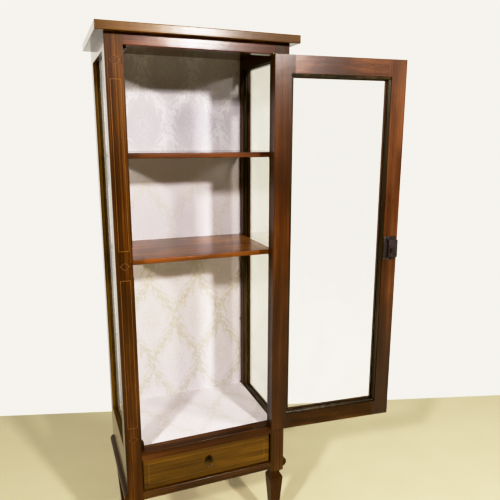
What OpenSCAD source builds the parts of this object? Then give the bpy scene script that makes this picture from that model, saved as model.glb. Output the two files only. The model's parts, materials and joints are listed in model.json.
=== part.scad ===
// Tall glazed display cabinet: one glazed door on pivot hinges, glazed sides,
// two shelves, a lined interior, one drawer and square tapered legs.
// Millimetres, +Z up. Origin on the floor, under the middle of the front left foot.
// The front faces -Y. The door is drawn swung open.

/* [Case] */
// Width across the corner posts
case_w = 550; // [480:10:640]
// Depth over the corner posts
case_d = 375; // [330:5:430]
// Height of the underside of the top board
top_z = 1676; // [1600:2:1800]
// Side of the square corner posts
post = 50; // [48:1:54]
// Thickness of the side walls of the showcase
wall = 27.5; // [26:0.5:30]
// Thickness of the front rails
rail_t = 34; // [32:1:36]

/* [Top board] */
// Thickness of the top board
slab_t = 24; // [20:1:30]
// Overhang of the top board at the front and sides
slab_over = 25; // [15:1:35]

/* [Legs] */
// Height of the legs below the posts
leg_h = 230; // [220:1:236]
// Side of the square foot
foot = 22; // [18:1:28]
// Side of the square collar below the neck
collar = 48; // [44:1:50]
// Side of the square neck
neck = 30; // [26:1:34]

/* [Rails] */
// Underside of the frieze rail
frieze_z = 1644.5; // [1560:0.5:1650]
// Underside of the side frieze rails
side_frieze_z = 1634; // [1540:1:1636]
// Top of the rail between showcase and drawer
sill_z = 412; // [410:1:420]
// Top of the drawer opening
drawer_top_z = 382; // [378:1:384]
// Bottom of the drawer opening
drawer_bot_z = 269; // [266:1:275]
// Bottom of the front bottom rail
plinth_z = 242.5; // [240:0.5:248]
// Top of the lower side rails, where the side glass starts
side_sill_z = 415; // [414:1:420]

/* [Door] */
// Width of the door
door_w = 446; // [440:1:447]
// Thickness of the door
door_t = 24; // [22:1:26]
// Face width of the door stiles and rails
stile = 53; // [48:1:60]
// Angle of the door as drawn, 0 is closed
door_open = 174.8; // [0:0.1:175]
// Pivot axis in from the hinge edge of the door
pivot_in = 3.25; // [3:0.25:4]
// Pivot axis in front of the posts
pivot_out = 3; // [3:0.5:4]

/* [Shelves] */
// Thickness of the shelves
shelf_t = 16; // [12:1:20]
// Top of the upper shelf
shelf_hi = 1354; // [1200:1:1450]
// Top of the middle shelf
shelf_mid = 1034; // [900:1:1100]
// Height of the spare shelf supports
spare_z = 690; // [600:1:750]

/* [Drawer] */
// Clearance at each side of the drawer front
drawer_gap = 3; // [2:0.5:4]
// How far the drawer front lies behind the posts
drawer_in = 8; // [5:1:10]
// Length of the drawer sides
drawer_len = 300; // [250:5:305]

/* [Hidden] */

$fn = 48;
wood = [0.40, 0.22, 0.11];
wood2 = [0.47, 0.29, 0.14];
bare = [0.66, 0.50, 0.32];
dark = [0.10, 0.09, 0.09];
brassy = [0.62, 0.48, 0.24];

hw = case_w/2;            // half width
fy = -case_d/2;           // plane of the post fronts
by = case_d/2;            // back plane
pw = case_w - 2*post;     // clear width between the posts
hp = pw/2;
lip = 10;                 // outer lip that holds the side glass
rab = 8;                  // depth of the glazing rebates
glass_t = 3;
flr_z = 408;              // top of the floor lining
flr_b = 396;              // underside of the floor panel
gz0 = side_sill_z - rab;  // rebate, low end
gz1 = side_frieze_z + rab;// rebate, high end
back_y = by - 9.5;        // front of the back panel
pan_z = plinth_z + 19.5;  // low edge of the back panel
groove = 10;              // width of the rebate for the back panel, from the wall's inner face
eps = 0.02;
front_pins = [shelf_hi-shelf_t, shelf_mid-shelf_t];
back_pins = [shelf_hi-shelf_t, shelf_mid-shelf_t, spare_z, flr_z+8];

module bx(x0,x1,y0,y1,z0,z1) translate([x0,y0,z0]) cube([x1-x0,y1-y0,z1-z0]);
// Everything below is laid out about the middle of the case, then moved to the origin
module org() translate([hw-post/2, -fy-post/2, 0]) children();
module side(s) mirror([s > 0 ? 1 : 0,0,0]) children();
module ends(s) mirror([0, s > 0 ? 1 : 0,0]) children();

// Tenons, drawn on the left: s = 0 plain, g = growth for the mortise
module tenon_x(x,y,z0,z1,t=12,l=18) bx(x-l,x+eps,y-t/2,y+t/2,z0,z1);
module tenon_y(x,y,z0,z1,t=9,l=15) bx(x-t/2,x+t/2,y-l,y+eps,z0,z1);

ten_y = fy + 17;          // middle of the front rail tenons
ten_x = -hw + 14;         // middle of the side rail tenons
module front_tenons() {
  tenon_x(-hp, ten_y, frieze_z+6, top_z-4);
  tenon_x(-hp, ten_y, drawer_top_z+4, sill_z-6);
  tenon_x(-hp, ten_y, plinth_z+4, drawer_bot_z-5);
}
module side_tenons() {
  tenon_y(ten_x, fy+post, gz1+3, top_z-4);
  tenon_y(ten_x, fy+post, leg_h+55, gz0-9);
}

module dowel(x,y) translate([x,y,leg_h-1]) cylinder(r=8, h=14.5);

// Corner posts. The showcase part is cut back behind the front flange.
module front_post(s) side(s) difference() {
  bx(-hw, -hw+post, fy, fy+post, leg_h, top_z);
  bx(-hw+wall, -hw+post+1, fy+rail_t, fy+post+1, flr_b, top_z+1);
  bx(-hw+lip, -hw+wall+1, fy+post-rab, fy+post+1, gz0, gz1);
  front_tenons();
  side_tenons();
  dowel(-hw+post/2, fy+post/2);
  // bore for the front shelf supports
  for (z=front_pins)
    translate([-hp-11, fy+rail_t-10, z-2.5]) rotate([-90,0,0]) cylinder(r=2.5, h=12);
  // keeper mortise for the bolt, on the left only
  if (s < 0) {
    bx(-hp-1.5, -hp+1, fy+door_t-4, rail_t+fy-0.6, 1004, 1060);
    bx(-hp-12, -hp+1, fy+door_t+1, fy+door_t+8, 1016, 1048);
  }
}
module back_post(s) side(s) difference() {
  bx(-hw, -hw+post, by-post, by, leg_h, top_z);
  bx(-hw+wall, -hw+post+1, by-post-1, back_y, flr_b, top_z+1);
  bx(-hw+wall-groove, -hw+post+1, back_y, by+1, pan_z, top_z+1);
  bx(-hw+lip, -hw+wall+1, by-post-1, by-post+rab, gz0, gz1);
  mirror([0,1,0]) side_tenons();
  bx(-hp-18, -hp+eps, by-23, by-11, plinth_z+2, pan_z-3);
  dowel(-hw+post/2, by-post/2);
  for (z=back_pins)
    translate([-hw+wall-12, back_y-8, z-2.5]) rotate([0,90,0]) cylinder(r=2.5, h=14);
}
module post_front_left() color(wood) org() front_post(-1);
module post_front_right() color(wood) org() front_post(1);
module post_back_left() color(wood) org() back_post(-1);
module post_back_right() color(wood) org() back_post(1);

// Legs: square, necked below the post, then tapering from a collar to the foot
module frustum(z0,a0,z1,a1) hull() {
  translate([-a0/2,-a0/2,z0]) cube([a0,a0,0.01]);
  translate([-a1/2,-a1/2,z1-0.01]) cube([a1,a1,0.01]);
}
module leg(sx,sy) translate([sx*(hw-post/2), sy*(by-post/2), 0]) {
  translate([-foot/2,-foot/2,0]) cube([foot,foot,3]);
  frustum(3, foot, leg_h-37, collar);
  frustum(leg_h-37, collar, leg_h-31, collar);
  frustum(leg_h-31, collar, leg_h-15, neck);
  frustum(leg_h-15, neck, leg_h-10, neck);
  frustum(leg_h-10, neck, leg_h-2, post-4);
  frustum(leg_h-2, post-4, leg_h, post-4);
  translate([0,0,leg_h-1]) cylinder(r=8, h=14);
}
module leg_front_left() color(wood) org() leg(-1,-1);
module leg_front_right() color(wood) org() leg(1,-1);
module leg_back_left() color(wood) org() leg(-1,1);
module leg_back_right() color(wood) org() leg(1,1);

// Top board with rounded front and side edges
module slab_layer(z,i) translate([-hw-slab_over+i, fy-slab_over+i, z]) cube([case_w+2*slab_over-2*i, case_d+slab_over-i, 0.01]);
module top_slab() color(wood) org() hull() {
  slab_layer(top_z, 3);
  slab_layer(top_z+1, 1);
  slab_layer(top_z+3, 0);
  slab_layer(top_z+slab_t-3.5, 0);
  slab_layer(top_z+slab_t-1.1, 1.1);
  slab_layer(top_z+slab_t-0.01, 3.5);
}

// Front rails with a rounded lower or upper arris
module xrail(y0,y1,z0,z1) bx(-hp, hp, y0, y1, z0, z1);
module both() { children(); mirror([1,0,0]) children(); }
module leaf2d() {            // outline of one hinge leaf seen from above, case side
  square_x0 = hp-62;
  polygon([[square_x0, fy+7],[hp-9, fy+7],[px-4.9, fy-2],[px-4.9,py],[px+4.9,py],[px+4.9, fy+2],[px+4.9,fy+19],[square_x0, fy+19]]);
  translate([px,py]) circle(r=4.9);
}
px = door_w/2 - pivot_in;    // pivot axis, closed door frame
py = fy - pivot_out;
leaf_t = 3;
module front_frieze_rail() color(wood) org() difference() {
  union() {
    xrail(fy, fy+rail_t, frieze_z, top_z);
    both() tenon_x(-hp, ten_y, frieze_z+6, top_z-4);
  }
  translate([0,0,frieze_z-1]) linear_extrude(leaf_t+1) leaf2d();
  for (x=[px-50,px-30]) translate([x,fy+13,frieze_z]) cylinder(r=1.6, h=17);
}
module front_sill_rail() color(wood) org() difference() {
  union() {
    xrail(fy, fy+rail_t, drawer_top_z, sill_z);
    both() tenon_x(-hp, ten_y, drawer_top_z+4, sill_z-6);
  }
  translate([0,0,sill_z-leaf_t]) linear_extrude(leaf_t+1) leaf2d();
  for (x=[px-50,px-30]) translate([x,fy+13,sill_z-17]) cylinder(r=1.6, h=17);
}
module front_bottom_rail() color(wood) org() {
  xrail(fy, fy+rail_t, plinth_z, drawer_bot_z);
  both() tenon_x(-hp, ten_y, plinth_z+4, drawer_bot_z-5);
}
module back_bottom_rail() color(wood) org() difference() {
  union() {
    xrail(by-rail_t, by, leg_h, pan_z+8);
    both() bx(-hp-18, -hp+eps, by-23, by-11, plinth_z+2, pan_z-3);
  }
  bx(-hp-1, hp+1, back_y, by+1, pan_z, pan_z+9);
}

// Side frieze rails and lower side panels, rebated for the glass
module side_top(s) side(s) {
  difference() {
    bx(-hw, -hw+wall, fy+post, by-post, side_frieze_z, top_z);
    bx(-hw+lip, -hw+wall+1, fy+post-1, by-post+1, side_frieze_z-1, gz1);
  }
  tenon_y(ten_x, fy+post, gz1+3, top_z-4);
  mirror([0,1,0]) tenon_y(ten_x, fy+post, gz1+3, top_z-4);
}
module side_low(s) side(s) {
  difference() {
    bx(-hw, -hw+wall, fy+post, by-post, leg_h, side_sill_z);
    bx(-hw+lip, -hw+wall+1, fy+post-1, by-post+1, gz0, side_sill_z+1);
  }
  tenon_y(ten_x, fy+post, leg_h+55, gz0-9);
  mirror([0,1,0]) tenon_y(ten_x, fy+post, leg_h+55, gz0-9);
}
module side_frieze_left() color(wood) org() side_top(-1);
module side_frieze_right() color(wood) org() side_top(1);
module side_panel_left() color(wood) org() side_low(-1);
module side_panel_right() color(wood) org() side_low(1);

// Half-round beads along the foot of each side
bead_h = 35; bead_p = 11;
bead_r = (bead_h*bead_h/4 + bead_p*bead_p)/(2*bead_p);
module half_bead(s) side(s) intersection() {
  translate([-hw-bead_p+bead_r, fy, 260.5]) rotate([-90,0,0]) cylinder(r=bead_r, h=case_d, $fn=72);
  bx(-hw-bead_p-1, -hw, fy-1, by+1, 230, 300);
}
module side_bead_left() color(wood) org() half_bead(-1);
module side_bead_right() color(wood) org() half_bead(1);

// Side glass and the beads that hold it in
module pane(s) side(s) bx(-hw+lip, -hw+lip+glass_t, fy+post-rab+1, by-post+rab-1, gz0+1, gz1-1);
module side_glass_left() color([0.8,0.88,0.85,0.35]) org() pane(-1);
module side_glass_right() color([0.8,0.88,0.85,0.35]) org() pane(1);
module bead_run(l) rotate([-90,0,0]) linear_extrude(l) polygon([[0,0],[11.5,0],[11.5,-4],[8,-5],[6,-9.5],[0,-9.5]]);
module side_beads(s) side(s) translate([-hw+lip+glass_t, 0, 0]) {
  translate([0, fy+post-rab, gz0]) bead_run(by*2-2*post+2*rab);
  translate([0, fy+post-rab, gz1]) mirror([0,0,1]) bead_run(by*2-2*post+2*rab);
  for (e=[0,1]) mirror([0,e,0]) translate([0, fy+post-rab, gz0+9.55]) linear_extrude(gz1-gz0-19.1)
    polygon([[0,0],[11.5,0],[11.5,4],[8,5],[6,9.5],[0,9.5]]);
}
module glazing_beads_left() color(wood) org() side_beads(-1);
module glazing_beads_right() color(wood) org() side_beads(1);

// Back panel in the rear rebate, and its patterned lining
module back_panel() color(bare) org() bx(-hw+wall-groove, hw-wall+groove, back_y, back_y+4, pan_z, top_z);
module back_lining() color([0.87,0.84,0.85]) org() bx(-hw+wall, hw-wall, back_y-0.8, back_y, flr_z, top_z);

// Floor of the showcase with a wooden lipping in front of the lining
module floor_panel() color(wood) org() difference() {
  bx(-hw+wall, hw-wall, fy+rail_t, back_y, flr_b, flr_z);
  bx(-hw+wall-1, hw-wall+1, fy+rail_t+13, back_y+1, flr_z-0.8, flr_z+1);
}
module floor_lining() color([0.87,0.84,0.85]) org() bx(-hw+wall, hw-wall, fy+rail_t+13, back_y-0.8, flr_z-0.8, flr_z);

// Shelves with a rounded front edge, resting on pins
module shelf(z) translate([0,0,z-shelf_t]) {
  bx(-hw+wall+1, hw-wall-1, fy+post+2, back_y-1.2, 0, shelf_t);
  bx(-hw+wall+1, hw-wall-1, fy+post-2, fy+post+3, 4, shelf_t-4);
  for (z=[4, shelf_t-4]) translate([-hw+wall+1, fy+post+2, z]) rotate([0,90,0]) cylinder(r=4, h=case_w-2*wall-2);
}
module upper_shelf() color(wood) org() shelf(shelf_hi);
module middle_shelf() color(wood) org() shelf(shelf_mid);
module shelf_pins() color(dark) org() both() {
  for (z=front_pins) translate([-hp-11, fy+rail_t-10, z-2.5]) rotate([-90,0,0]) cylinder(r=2.5, h=33);
  for (z=back_pins) translate([-hw+wall-12, back_y-8, z-2.5]) rotate([0,90,0]) cylinder(r=2.5, h=18);
}

// Strip that the closed door rests against, broken for the lock, and its end blocks
module door_stop_strip() color(wood) org() {
  bx(-hp, -hp+5, fy+door_t+0.2, fy+rail_t, sill_z, 985);
  bx(-hp, -hp+5, fy+door_t+0.2, fy+rail_t, 1079, frieze_z);
}
module stop_end(l) translate([-hp+5, fy+rail_t, 0]) rotate([90,0,0]) linear_extrude(rail_t-door_t-0.2)
  polygon([[0,0],[7.5,0],[7.5,l-8],[4.5,l],[0,l]]);
module door_stop_block() color(dark) org() {
  translate([0,0,sill_z]) stop_end(27);
  translate([0,0,frieze_z]) mirror([0,0,1]) stop_end(16);
}
// Keeper let into the post, with a slot for the bolt
module bolt_keeper() color(dark) org() difference() {
  bx(-hp-1.5, -hp, fy+door_t-4, rail_t+fy-0.6, 1004, 1060);
  bx(-hp-3, -hp+1, fy+door_t+1, fy+door_t+8, 1016, 1048);
}

// Pivot hinges: case leaves with a bored nose, door leaves with the pin
module leaf_holes(z0,z1,up) for (x=[px-50,px-30]) translate([x,fy+13,0]) {
  translate([0,0,z0-1]) cylinder(r=1.6, h=z1-z0+2);
  translate([0,0,up ? z0-1 : z1-1.2]) cylinder(r=3.4, h=2.2);
}
module hinge_leaves_case() color(brassy) org() {
  difference() {
    translate([0,0,frieze_z]) linear_extrude(leaf_t) leaf2d();
    translate([px,py,frieze_z-1]) cylinder(r=2.05, h=leaf_t+2);
    leaf_holes(frieze_z, frieze_z+leaf_t, true);
  }
  difference() {
    translate([0,0,sill_z-leaf_t]) linear_extrude(leaf_t) leaf2d();
    translate([px,py,sill_z-leaf_t-1]) cylinder(r=2.05, h=leaf_t+2);
    leaf_holes(sill_z-leaf_t, sill_z, false);
  }
}
module ring(r0,r1,h) difference() { cylinder(r=r1, h=h); translate([0,0,-1]) cylinder(r=r0, h=h+2); }
module hinge_washers() color(brassy) org() {
  translate([px,py,door_z1+0.1]) ring(2.05, 4.5, frieze_z-door_z1-0.1);
  translate([px,py,sill_z]) ring(2.05, 4.5, door_z0-sill_z-0.1);
}
module screw(z,up) translate([0,0,z]) mirror([0,0,up ? 0 : 1]) {
  cylinder(r=1.6, h=15);
  difference() { cylinder(r=3.4, h=1.2); translate([-4,-0.4,-0.5]) cube([8,0.8,1.1]); }
}
module hinge_screws_case() color(brassy) org() for (x=[px-50,px-30]) {
  translate([x,fy+13,0]) screw(frieze_z, true);
  translate([x,fy+13,0]) screw(sill_z, false);
}

// Door, drawn closed and swung about the pivots
door_z0 = sill_z+1;
door_z1 = frieze_z-2.5;
dx0 = -door_w/2; dx1 = door_w/2;
dy0 = fy; dy1 = fy+door_t;
module swing() translate([px,py,0]) rotate([0,0,door_open]) translate([-px,-py,0]) children();
rbt = 16;                 // rebate depth from the inner face of the door
sight = 12;               // front lip of the door frame beyond its inner face
module door_leaf2d() {
  x0 = px-58;
  polygon([[x0, fy+7],[px-8, fy+7],[px-4.9, fy-2],[px-4.9,py],[px+4.9,py],[px+4.9,fy+0.6],[dx1-0.05,fy+0.6],[dx1-0.05,fy+19],[x0, fy+19]]);
  translate([px,py]) circle(r=4.9);
}
module leaf_cuts() {
  translate([0,0,door_z1-leaf_t]) linear_extrude(leaf_t+1) door_leaf2d();
  translate([0,0,door_z0-1]) linear_extrude(leaf_t+1) door_leaf2d();
  for (x=[px-50,px-30]) translate([x,fy+13,0]) {
    translate([0,0,door_z1-17]) cylinder(r=1.6, h=17);
    translate([0,0,door_z0]) cylinder(r=1.6, h=17);
  }
}
// Stile: full thickness face, rebated towards the opening, mortised for the rails
module stile_bar(x0,x1,r0,r1) difference() {
  bx(x0, x1, dy0, dy1, door_z0, door_z1);
  bx(r0, r1, dy1-rbt, dy1+1, door_z0+stile, door_z1-stile);
}
module door_stile_hinge() color(wood) org() swing() difference() {
  stile_bar(dx1-stile-sight, dx1, dx1-stile-sight-1, dx1-stile);
  for (z=[door_z0+18, door_z1-stile+8]) bx(dx1-stile-sight-1, dx1-stile+12, dy0+8, dy0+16, z, z+stile-26);
  leaf_cuts();
}
module door_stile_lock() color(wood) org() swing() difference() {
  stile_bar(dx0, dx0+stile+sight, dx0+stile, dx0+stile+sight+1);
  for (z=[door_z0+18, door_z1-stile+8]) bx(dx0+stile-12, dx0+stile+sight+1, dy0+8, dy0+16, z, z+stile-26);
  keyhole(dy0-1, door_t+2);
  for (x=[lk_x0+31, lk_x0+44], z=[lk_z0-5, lk_z1+5]) translate([x,dy1-10,z]) rotate([-90,0,0]) cylinder(r=1.6, h=11);
}
module door_rail(z0,z1,g0,g1) difference() {
  union() {
    bx(dx0+stile+sight, dx1-stile-sight, dy0, dy1, z0, z1);
    bx(dx0+stile-12, dx1-stile+12, dy0+8, dy0+16, z0+(g0<z0?sight+8:18), z1-(g0<z0?18:sight+8));
  }
  bx(dx0+stile, dx1-stile, dy1-rbt, dy1+1, g0, g1);
}
module door_rail_top() color(wood) org() swing() door_rail(door_z1-stile-sight, door_z1, door_z1-stile-sight-1, door_z1-stile);
module door_rail_bottom() color(wood) org() swing() door_rail(door_z0, door_z0+stile+sight, door_z0+stile, door_z0+stile+sight+1);
module door_glass() color([0.8,0.88,0.85,0.35]) org() swing()
  bx(dx0+stile+1, dx1-stile-1, dy1-rbt, dy1-rbt+glass_t, door_z0+stile+1, door_z1-stile-1);
bw = 9; bd = 10;          // width and depth of the door glazing beads
module door_bead2d() polygon([[0,0],[bw,0],[bw,bd-5],[bw-2,bd-2],[bw-5,bd],[0,bd]]);
module door_beads() color(wood) org() swing() {
  for (e=[0,1]) mirror([e,0,0]) translate([dx0+stile, dy1-rbt+glass_t, door_z0+stile+bw+0.05])
    linear_extrude(door_z1-door_z0-2*stile-2*bw-0.1) door_bead2d();
  translate([dx1-stile, dy1-rbt+glass_t, door_z0+stile]) rotate([0,-90,0]) linear_extrude(door_w-2*stile) door_bead2d();
  translate([dx1-stile, dy1-rbt+glass_t, door_z1-stile]) mirror([0,0,1]) rotate([0,-90,0]) linear_extrude(door_w-2*stile) door_bead2d();
}
module hinge_leaves_door() color(brassy) org() swing() {
  difference() {
    union() {
      translate([0,0,door_z1-leaf_t]) linear_extrude(leaf_t) door_leaf2d();
      translate([px,py,door_z1-leaf_t]) cylinder(r=2, h=leaf_t+frieze_z-door_z1+leaf_t-0.3);
    }
    leaf_holes(door_z1-leaf_t, door_z1, false);
  }
  difference() {
    union() {
      translate([0,0,door_z0]) linear_extrude(leaf_t) door_leaf2d();
      translate([px,py,sill_z-leaf_t+0.3]) cylinder(r=2, h=leaf_t+1+leaf_t-0.3);
    }
    leaf_holes(door_z0, door_z0+leaf_t, true);
  }
}
module hinge_screws_door() color(brassy) org() swing() for (x=[px-50,px-30]) {
  translate([x,fy+13,0]) screw(door_z1, false);
  translate([x,fy+13,0]) screw(door_z0, true);
}

// Surface lock on the inner face of the lock stile
lk_x0 = dx0+4.5; lk_x1 = dx0+stile-0.5;
lk_z0 = 1001; lk_z1 = 1063; lk_t = 12;
key_x = dx0+30; key_z = 1030;
module lock_case() color(dark) org() swing() difference() {
  union() {
    bx(lk_x0, lk_x0+33, dy1, dy1+lk_t, lk_z0, lk_z1-3);
    bx(lk_x0+32, lk_x1, dy1, dy1+4, lk_z0, lk_z1-3);
    bx(lk_x0+2, lk_x1, dy1, dy1+2, lk_z0-9, lk_z1+9);
    translate([lk_x0+14, dy1, lk_z0]) rotate([-90,0,0]) cylinder(r=8, h=lk_t-4);
    translate([lk_x0+13, dy1+lk_t-1, lk_z0+12]) rotate([-90,0,0]) cylinder(r=6, h=2.5);
  }
  // hollow for the works, open only at the bolt and the keyhole
  bx(lk_x0+2, lk_x0+31, dy1+1.2, dy1+lk_t-2, lk_z0+4, lk_z1-7);
  bx(lk_x0-1, lk_x0+3, dy1+1.3, dy1+7.6, 1016.9, 1047.1);
  keyhole(dy1-1, lk_t+2);
  for (x=[lk_x0+31, lk_x0+44], z=[lk_z0-5, lk_z1+5]) translate([x,dy1-1,z]) rotate([-90,0,0]) cylinder(r=1.6, h=4);
}
module keyhole(y,l) {
  translate([key_x, y, key_z]) rotate([-90,0,0]) cylinder(r=3.5, h=l);
  bx(key_x-2, key_x+2, y, y+l, key_z-15, key_z);
}
module lock_plate_screws() color(dark) org() swing() for (x=[lk_x0+31, lk_x0+44], z=[lk_z0-5, lk_z1+5])
  translate([x,dy1+2,z]) rotate([-90,0,0]) { cylinder(r=3.2, h=1.4); translate([0,0,-12]) cylinder(r=1.6, h=12.5); }
module lock_bolt() color([0.35,0.34,0.33]) org() swing() {
  bx(lk_x0-0.4, lk_x0+11, dy1+1.4, dy1+7.4, 1017, 1047);
  bx(lk_x0+10, lk_x0+29, dy1+1.4, dy1+7.4, 1044.5, 1047);
  bx(lk_x0+16, lk_x0+29, dy1+1.4, dy1+7.4, 1046, 1053);
}
module keyhole_plate() color(brassy) org() swing() difference() {
  translate([key_x, dy0, key_z-3]) rotate([90,0,0]) cylinder(r=13, h=1.2);
  keyhole(dy0-2, 4);
}
module key() color(brassy) org() swing() translate([key_x, 0, key_z]) {
  translate([0, dy0-26, 0]) rotate([-90,0,0]) cylinder(r=2.6, h=26+door_t+8);
  translate([0, dy0-38, 0]) rotate([0,90,0]) translate([0,0,-1.5]) difference() {
    cylinder(r=13, h=3);
    translate([0,0,-1]) cylinder(r=8.5, h=5);
  }
  bx(-1.2, 1.2, dy1+2.5, dy1+6.5, -13.5, 0);
}

// Drawer and its runners
dr_y0 = fy+drawer_in;      // front of the drawer
dr_w = pw-2*drawer_gap;
dr_z0 = drawer_bot_z+2; dr_z1 = drawer_top_z-1.5;
dr_x = dr_w/2;
sd_z0 = drawer_bot_z+0.3; sd_z1 = drawer_top_z-4;
module runner_l() {
  bx(-hp, -hp+22, fy+rail_t, by-rail_t, drawer_bot_z-12, drawer_bot_z);
  bx(-hw+wall, -hp, fy+post, by-post, drawer_bot_z-12, drawer_bot_z+40);
}
module runner_left() color(bare) org() runner_l();
module runner_right() color(bare) org() mirror([1,0,0]) runner_l();
module kickers() color(bare) org() both() bx(-hp, -hp+22, fy+rail_t, by-rail_t, drawer_top_z, flr_b);
module drawer_front() color(wood2) org() difference() {
  bx(-dr_x, dr_x, dr_y0, dr_y0+18, dr_z0, dr_z1);
  bx(-dr_x+6, dr_x-6, dr_y0+12, dr_y0+19, sd_z0+10, sd_z0+15);
  both() bx(-dr_x-1, -dr_x+10, dr_y0+9, dr_y0+19, sd_z0-1, sd_z1);
  translate([0, dr_y0-1, pull_z+7]) rotate([-90,0,0]) cylinder(r=2, h=20);
}
module dside() difference() {
  bx(-dr_x, -dr_x+10, dr_y0+9, dr_y0+18+drawer_len, sd_z0, sd_z1);
  bx(-dr_x+6, -dr_x+11, dr_y0+8, dr_y0+19+drawer_len, sd_z0+10, sd_z0+15);
}
module drawer_side_left() color(bare) org() dside();
module drawer_side_right() color(bare) org() mirror([1,0,0]) dside();
module drawer_back() color(bare) org() bx(-dr_x+10, dr_x-10, dr_y0+8+drawer_len, dr_y0+18+drawer_len, sd_z0+15, sd_z1-6);
module drawer_bottom() color(bare) org() bx(-dr_x+6, dr_x-6, dr_y0+12, dr_y0+18+drawer_len, sd_z0+10, sd_z0+15);

// Ring pull: turned rosette with an eye, and a ring hanging in it
pull_z = 326;
module pull_rosette() color(dark) org() translate([0, dr_y0, pull_z+7]) {
  rotate([90,0,0]) {
    cylinder(r=11.4, h=1.2);
    for (a=[0:30:330]) rotate([0,0,a]) translate([10.6,0,0]) cylinder(r=2.4, h=1.8);
    cylinder(r=8.8, h=2.4);
    cylinder(r=6.2, h=4);
  }
  difference() {
    translate([0,0,0]) rotate([90,0,0]) cylinder(r=3.6, h=11);
    translate([-6,-7.6,0]) rotate([0,90,0]) cylinder(r=2.1, h=12);
  }
  rotate([-90,0,0]) cylinder(r=2, h=19);
}
module pull_ring() color(dark) org() translate([0, dr_y0-7.6, pull_z+7-11.2]) rotate([90,0,0])
  rotate_extrude() translate([11.5,0]) circle(r=1.6, $fn=24);

top_slab();
post_front_left();
post_front_right();
post_back_left();
post_back_right();
leg_front_left();
leg_front_right();
leg_back_left();
leg_back_right();
front_frieze_rail();
front_sill_rail();
front_bottom_rail();
back_bottom_rail();
side_frieze_left();
side_frieze_right();
side_panel_left();
side_panel_right();
side_bead_left();
side_bead_right();
side_glass_left();
side_glass_right();
glazing_beads_left();
glazing_beads_right();
back_panel();
back_lining();
floor_panel();
floor_lining();
upper_shelf();
middle_shelf();
shelf_pins();
door_stop_strip();
door_stop_block();
bolt_keeper();
hinge_leaves_case();
hinge_washers();
hinge_screws_case();
runner_left();
runner_right();
kickers();
door_stile_hinge();
door_stile_lock();
door_rail_top();
door_rail_bottom();
door_glass();
door_beads();
hinge_leaves_door();
hinge_screws_door();
lock_case();
lock_plate_screws();
lock_bolt();
keyhole_plate();
key();
drawer_front();
drawer_side_left();
drawer_side_right();
drawer_back();
drawer_bottom();
pull_rosette();
pull_ring();
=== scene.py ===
import bpy, bmesh, math, json, random
from mathutils import Vector, Matrix

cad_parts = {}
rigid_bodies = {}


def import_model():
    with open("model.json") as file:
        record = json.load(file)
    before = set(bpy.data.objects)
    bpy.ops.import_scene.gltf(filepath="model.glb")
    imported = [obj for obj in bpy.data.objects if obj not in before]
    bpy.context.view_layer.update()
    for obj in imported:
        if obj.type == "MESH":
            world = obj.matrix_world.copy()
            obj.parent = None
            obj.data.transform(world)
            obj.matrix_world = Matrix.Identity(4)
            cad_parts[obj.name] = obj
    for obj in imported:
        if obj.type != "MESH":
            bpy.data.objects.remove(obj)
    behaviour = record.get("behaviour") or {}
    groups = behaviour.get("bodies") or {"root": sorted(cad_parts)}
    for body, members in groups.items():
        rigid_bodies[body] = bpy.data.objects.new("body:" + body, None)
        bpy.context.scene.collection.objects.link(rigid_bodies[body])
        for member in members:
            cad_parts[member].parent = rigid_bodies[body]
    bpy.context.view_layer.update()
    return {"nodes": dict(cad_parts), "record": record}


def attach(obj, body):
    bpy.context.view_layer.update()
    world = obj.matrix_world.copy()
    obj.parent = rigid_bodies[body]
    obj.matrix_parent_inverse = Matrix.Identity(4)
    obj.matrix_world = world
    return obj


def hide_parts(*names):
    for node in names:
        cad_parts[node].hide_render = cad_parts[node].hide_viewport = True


for o in list(bpy.data.objects):
    bpy.data.objects.remove(o)

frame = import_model()
NODES = frame["nodes"]
random.seed(11)

# ---------------------------------------------------------------- layout
# Sizes in mm about the middle of the case: X from the middle, Y from the middle
# (front of the posts at -187.5), Z from the floor. The same layout as the part's source.
HW, FY, BY, TOP = 275.0, -187.5, 187.5, 1676.0
HP, POST, WALL, RAIL = 225.0, 50.0, 27.5, 34.0
PIV = (219.75, -190.5)
OPEN = math.radians(174.8)


def row(p):
    """Centre layout in mm to the row frame in metres."""
    return Vector(((p[0] + 250.0) / 1000.0, (p[1] + 162.5) / 1000.0, p[2] / 1000.0))


def swung(p):
    """A point of the closed door, in mm, where it is with the door open as at rest."""
    c, s = math.cos(OPEN), math.sin(OPEN)
    x, y = p[0] - PIV[0], p[1] - PIV[1]
    return row((PIV[0] + c * x - s * y, PIV[1] + s * x + c * y, p[2]))


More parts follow.
